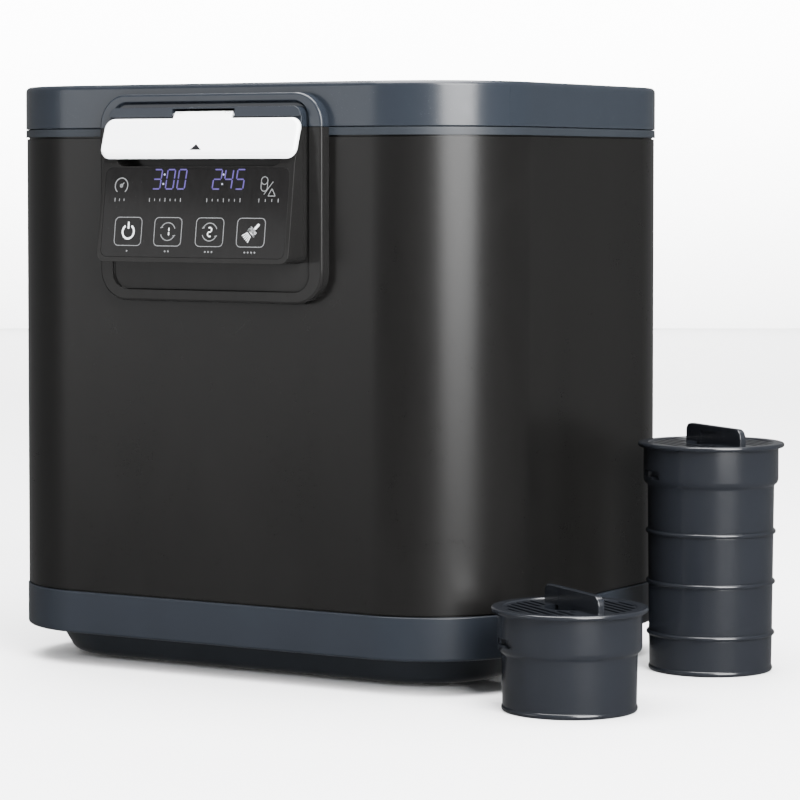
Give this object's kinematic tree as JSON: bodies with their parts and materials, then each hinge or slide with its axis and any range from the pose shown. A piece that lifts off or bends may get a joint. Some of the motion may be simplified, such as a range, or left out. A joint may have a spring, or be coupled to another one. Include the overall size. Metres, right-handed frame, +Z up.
{
  "type": "electric food waste composter",
  "caption": "Countertop electric food waste composter: rounded casing, rear-hinged lid with front pick-up lever, touch panel, stirred bucket and two charcoal canisters.",
  "frame": {"origin": "centre of the machine's footprint on the table", "axes": "+X across the machine to the user's right as they face it, -Y towards the user (the front), +Z up"},
  "size_m": [0.3859, 0.2741, 0.3033],
  "materials": {
    "lid_slate": "satin moulded, slate grey",
    "band_slate": "satin moulded, slate grey",
    "shell_black": "satin black, fine powder coat",
    "pedestal_dark": "matt moulded",
    "bezel_black": "gloss moulded",
    "panel_glass": "back-printed gloss panel",
    "lever_white": "gloss white",
    "interior_grey": "matt moulded",
    "canister_slate": "semi-gloss moulded",
    "rubber_black": "matt",
    "bucket_coated": "non-stick coated",
    "chamber_metal": "bead blasted",
    "steel": "brushed",
    "stainless": "polished",
    "bronze": "machined",
    "gear_nylon": "moulded",
    "board_green": "solder resist",
    "display_dark": "matt",
    "charcoal": "granular charcoal",
    "silicone_grey": "matt silicone"
  },
  "bodies": {
    "machine": {"pedestal_tray": "pedestal_dark", "rubber_feet": "rubber_black", "base_band": "band_slate", "outer_shell": "shell_black", "rear_grille": "bezel_black", "top_frame": "interior_grey", "control_bezel": "bezel_black", "pod_housing": "bezel_black", "touch_panel_glass": "panel_glass", "display_module": "display_dark", "control_board": "board_green", "lid_sensor": "interior_grey", "latch_striker": "steel", "heating_chamber": "chamber_metal", "heater_ring": "chamber_metal", "temperature_sensor": "steel", "waste_bucket": "bucket_coated", "bucket_bail": "stainless", "shaft_bush": "bronze", "chassis_plate": "steel", "load_cell": "chamber_metal", "gearbox_housing": "interior_grey", "gearbox_cover": "interior_grey", "shaft_bearings": "steel", "idler_pin": "steel", "drive_motor": "steel", "motor_screws": "steel", "tall_filter_well": "interior_grey", "short_filter_well": "interior_grey", "exhaust_duct": "interior_grey", "fan_housing": "bezel_black", "mains_inlet": "bezel_black", "inlet_contacts": "stainless", "power_board": "board_green", "tall_canister": "canister_slate", "tall_charge": "charcoal", "short_canister": "canister_slate", "short_charge": "charcoal", "base_screws": "steel"},
    "lid": {"lid_outer": "lid_slate", "lid_liner": "interior_grey", "lid_gasket": "silicone_grey", "lid_magnet": "steel", "hinge_pins": "steel", "lever_pin": "steel", "lever_springs": "steel"},
    "lever": {"pick_up_lever": "lever_white"},
    "rotor": {"stirring_rotor": "stainless", "rotor_shaft": "stainless", "drive_coupler": "steel", "output_shaft": "steel", "output_gear": "gear_nylon"},
    "idler": {"idler_gear": "gear_nylon"},
    "pinion": {"motor_pinion": "bronze", "motor_shaft": "steel"},
    "fan": {"fan_impeller": "bezel_black"},
    "tall_cap_turn": {"tall_cap": "canister_slate"},
    "short_cap_turn": {"short_cap": "canister_slate"}
  },
  "joints": [
    {"name": "lid_hinge", "type": "hinge", "parent": "machine", "child": "lid", "pos_m": [0, 0.125, 0.287], "axis": [-1, 0, 0], "range_deg": [0, 95]},
    {"name": "lever_hinge", "type": "hinge", "parent": "lid", "child": "lever", "pos_m": [0, -0.1297, 0.2872], "axis": [-1, 0, 0], "range_deg": [0, 30], "stiffness_Nm_per_rad": 0.03, "springref_deg": -17.19},
    {"name": "rotor_spin", "type": "hinge", "parent": "machine", "child": "rotor", "pos_m": [-0.04, 0, 0.11], "axis": [0, 0, 1], "continuous": true},
    {"name": "idler_spin", "type": "hinge", "parent": "machine", "child": "idler", "pos_m": [0.02, 0, 0.06], "axis": [0, 0, 1], "continuous": true},
    {"name": "pinion_spin", "type": "hinge", "parent": "machine", "child": "pinion", "pos_m": [0.078, 0, 0.07], "axis": [0, 0, 1], "continuous": true},
    {"name": "fan_spin", "type": "hinge", "parent": "machine", "child": "fan", "pos_m": [0.058, 0.1, 0.112], "axis": [0, 1, 0], "continuous": true},
    {"name": "tall_cap_twist", "type": "hinge", "parent": "machine", "child": "tall_cap_turn", "pos_m": [0.198, 0.045, 0.118], "axis": [0, 0, 1], "range_deg": [0, 18]},
    {"name": "short_cap_twist", "type": "hinge", "parent": "machine", "child": "short_cap_turn", "pos_m": [0.196, -0.107, 0.05], "axis": [0, 0, 1], "range_deg": [0, 18]}
  ],
  "couplings": [
    {"joint": "idler_spin", "follows": "rotor_spin", "ratio": -4},
    {"joint": "pinion_spin", "follows": "rotor_spin", "ratio": 15.333}
  ]
}
